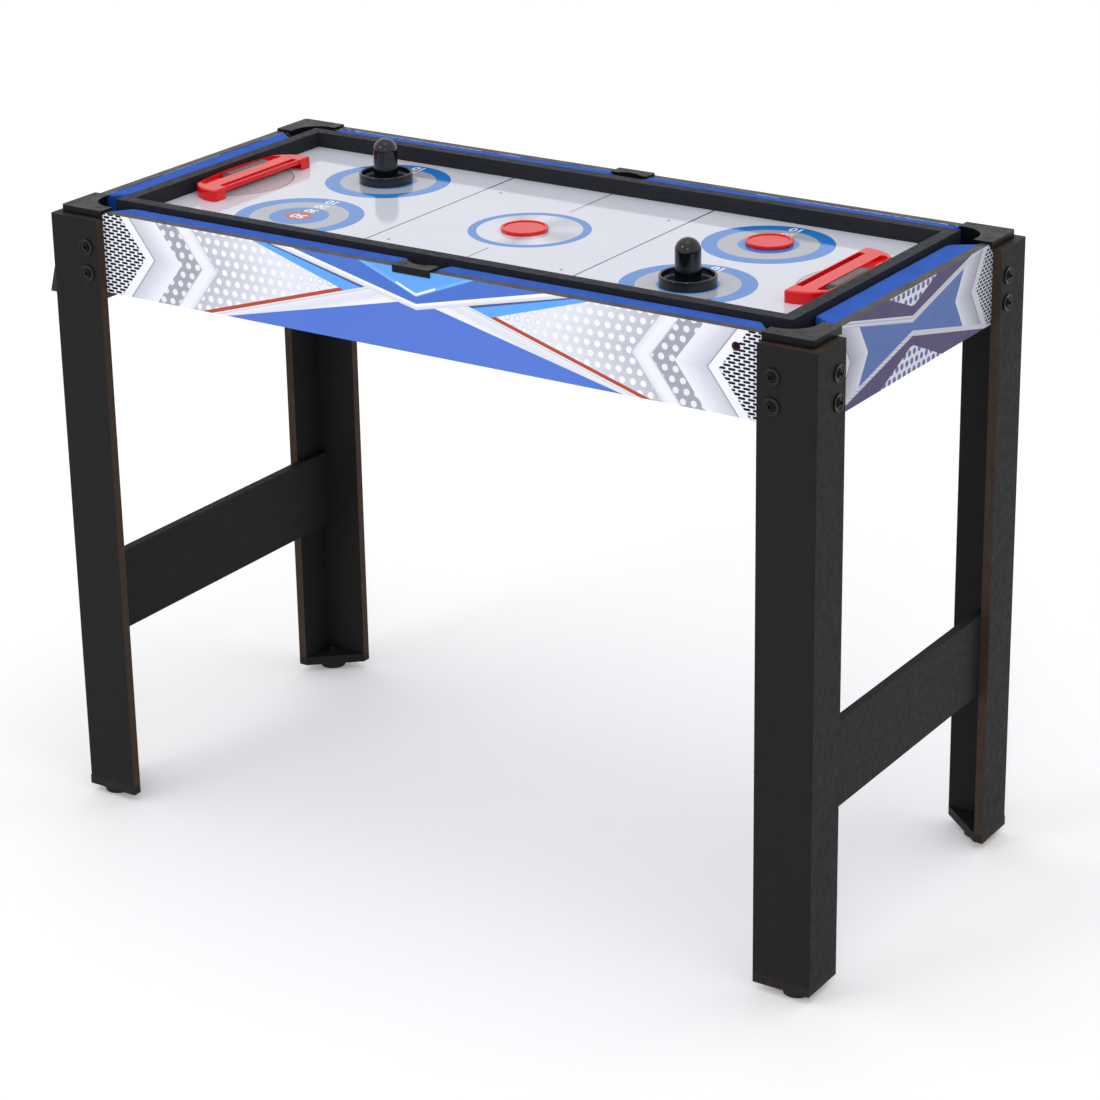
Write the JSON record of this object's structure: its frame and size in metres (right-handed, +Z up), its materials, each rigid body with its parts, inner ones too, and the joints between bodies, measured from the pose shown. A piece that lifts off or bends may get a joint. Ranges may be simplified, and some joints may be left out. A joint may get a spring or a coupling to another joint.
{
  "type": "push hockey games table",
  "caption": "Games table: a lift-out push-hockey tray with goals, pushers and pucks on a cushioned pocket bed, with printed aprons, board legs, end stretchers and a ball box.",
  "frame": {"origin": "on the floor, at the centre of the rectangle of the four levelling feet", "axes": "+X along the table's length, away from the ball box; +Y towards the back long side; +Z up"},
  "size_m": [1.1673, 0.5286, 0.8465],
  "materials": {
    "laminate_black": "satin black film over fibreboard",
    "mdf_board": "raw fibreboard",
    "printed_apron": "gloss printed film over fibreboard",
    "blue_felt": "short felt",
    "cap_plastic": "satin",
    "runner_plastic": "satin",
    "foot_plastic": "matte",
    "black_steel": "gloss black",
    "zinc_steel": "zinc plated",
    "dowel_beech": "raw",
    "tray_rail_finish": "satin dark film",
    "hockey_surface": "gloss laminate",
    "red_plastic": "gloss",
    "slider_plastic": "satin",
    "pusher_plastic": "gloss"
  },
  "bodies": {
    "table": {"stretcher_left": "laminate_black", "stretcher_right": "laminate_black", "leg_side_board_front_left": "laminate_black", "leg_side_board_front_right": "laminate_black", "leg_side_board_back_left": "laminate_black", "leg_side_board_back_right": "laminate_black", "leg_end_board_front_left": "laminate_black", "leg_end_board_front_right": "laminate_black", "leg_end_board_back_left": "laminate_black", "leg_end_board_back_right": "laminate_black", "foot_plate_front_left": "mdf_board", "foot_plate_front_right": "mdf_board", "foot_plate_back_left": "mdf_board", "foot_plate_back_right": "mdf_board", "bed_battens": "mdf_board", "apron_front": "printed_apron", "apron_back": "printed_apron", "apron_left": "printed_apron", "apron_right": "printed_apron", "playing_bed": "blue_felt", "cushion_front_left": "blue_felt", "cushion_front_right": "blue_felt", "cushion_back_left": "blue_felt", "cushion_back_right": "blue_felt", "cushion_left": "blue_felt", "cushion_right": "blue_felt", "corner_cap_front_left": "cap_plastic", "corner_cap_front_right": "cap_plastic", "corner_cap_back_left": "cap_plastic", "corner_cap_back_right": "cap_plastic", "side_cap_front": "cap_plastic", "side_cap_back": "cap_plastic", "side_runners": "runner_plastic", "cross_runner": "runner_plastic", "ball_return_box": "runner_plastic", "leg_bolts": "black_steel", "leg_washers": "black_steel", "leg_nuts": "zinc_steel", "cap_screws": "zinc_steel", "foot_plate_screws": "zinc_steel", "ball_box_screws": "zinc_steel", "stretcher_dowels": "dowel_beech"},
    "hockey_tray": {"tray_rail_front": "tray_rail_finish", "tray_rail_back": "tray_rail_finish", "tray_rail_left": "tray_rail_finish", "tray_rail_right": "tray_rail_finish", "hockey_board": "hockey_surface", "tray_battens": "mdf_board", "goal_left": "red_plastic", "goal_right": "red_plastic"},
    "score_slider_left": {"score_slider_left": "slider_plastic"},
    "score_slider_right": {"score_slider_right": "slider_plastic"},
    "pusher_left": {"pusher_left": "pusher_plastic"},
    "pusher_right": {"pusher_right": "pusher_plastic"},
    "puck_centre": {"puck_centre": "red_plastic"},
    "puck_right": {"puck_right": "red_plastic"},
    "foot_front_left": {"levelling_foot_front_left": "foot_plastic"},
    "foot_front_right": {"levelling_foot_front_right": "foot_plastic"},
    "foot_back_left": {"levelling_foot_back_left": "foot_plastic"},
    "foot_back_right": {"levelling_foot_back_right": "foot_plastic"}
  },
  "joints": [
    {"name": "tray_lift", "type": "slide", "parent": "table", "child": "hockey_tray", "axis": [0, 0, 1], "range_m": [0, 0.1]},
    {"name": "pusher_left_push", "type": "slide", "parent": "hockey_tray", "child": "pusher_left", "axis": [1, 0, 0], "range_m": [-0.091, 0.25]},
    {"name": "pusher_right_push", "type": "slide", "parent": "hockey_tray", "child": "pusher_right", "axis": [1, 0, 0], "range_m": [-0.247, 0.094]},
    {"name": "puck_centre_slide", "type": "slide", "parent": "hockey_tray", "child": "puck_centre", "axis": [1, 0, 0], "range_m": [-0.42, 0.43]},
    {"name": "puck_right_slide", "type": "slide", "parent": "hockey_tray", "child": "puck_right", "axis": [1, 0, 0], "range_m": [-0.248, 0.1]},
    {"name": "score_left", "type": "slide", "parent": "hockey_tray", "child": "score_slider_left", "axis": [0, 1, 0], "range_m": [-0.0355, 0.0055]},
    {"name": "score_right", "type": "slide", "parent": "hockey_tray", "child": "score_slider_right", "axis": [0, 1, 0], "range_m": [-0.0055, 0.0355]},
    {"name": "level_front_left", "type": "slide", "parent": "table", "child": "foot_front_left", "axis": [0, 0, -1], "range_m": [0, 0.01]},
    {"name": "level_front_right", "type": "slide", "parent": "table", "child": "foot_front_right", "axis": [0, 0, -1], "range_m": [0, 0.01]},
    {"name": "level_back_left", "type": "slide", "parent": "table", "child": "foot_back_left", "axis": [0, 0, -1], "range_m": [0, 0.01]},
    {"name": "level_back_right", "type": "slide", "parent": "table", "child": "foot_back_right", "axis": [0, 0, -1], "range_m": [0, 0.01]}
  ]
}
